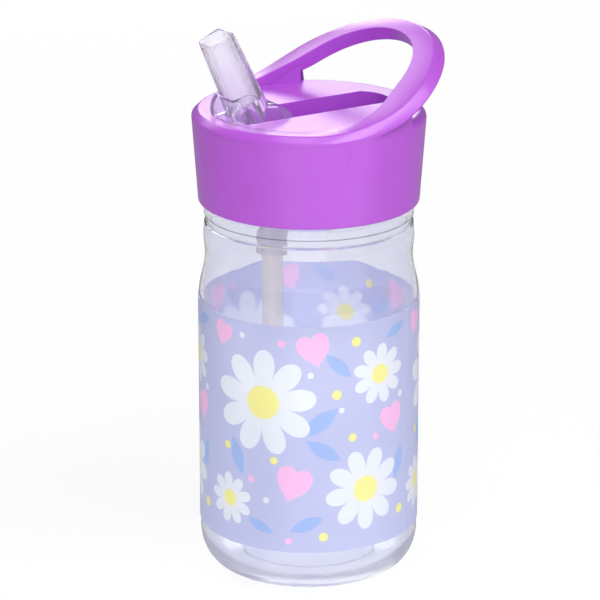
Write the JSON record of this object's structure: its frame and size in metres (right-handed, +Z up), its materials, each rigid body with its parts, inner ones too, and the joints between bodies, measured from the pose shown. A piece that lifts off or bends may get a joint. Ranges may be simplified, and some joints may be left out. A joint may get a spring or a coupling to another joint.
{
  "type": "kids water bottle",
  "caption": "Clear drinking bottle with a printed wrap and a screw lid that has a slanted carry loop, a flip-up spout and a straw.",
  "frame": {"origin": "on the bottle's axis, in the plane of the ring that it stands on", "axes": "+Z up along the bottle, -Y towards the drinking side, X along the spout's hinge"},
  "size_m": [0.0724, 0.0759, 0.1706],
  "materials": {
    "clear_body": "clear blow-moulded copolyester",
    "printed_film": "translucent printed film",
    "lid_purple": "glossy moulded polypropylene",
    "clear_spout": "clear moulded copolyester",
    "soft_silicone": "translucent soft silicone",
    "straw_plastic": "translucent polyethylene tube"
  },
  "bodies": {
    "bottle": {"bottle_body": "clear_body", "printed_wrap": "printed_film"},
    "gasket": {"lid_gasket": "soft_silicone"},
    "cap": {"lid": "lid_purple", "spout_seal": "soft_silicone", "straw_sleeve": "soft_silicone", "straw": "straw_plastic", "vent_valve": "soft_silicone"},
    "spout": {"spout": "clear_spout"}
  },
  "joints": [
    {"name": "lid_lift", "type": "slide", "parent": "bottle", "child": "gasket", "axis": [0, 0, 1], "range_m": [0, 0.01]},
    {"name": "lid_turn", "type": "hinge", "parent": "gasket", "child": "cap", "pos_m": [0, 0, 0.1285], "axis": [0, 0, 1], "range_deg": [0, 450]},
    {"name": "spout_flip", "type": "hinge", "parent": "cap", "child": "spout", "pos_m": [0, -0.0175, 0.138], "axis": [-1, 0, 0], "range_deg": [0, 115]}
  ],
  "couplings": [
    {"joint": "lid_lift", "follows": "lid_turn", "m_per_rad": 0.0012732}
  ]
}
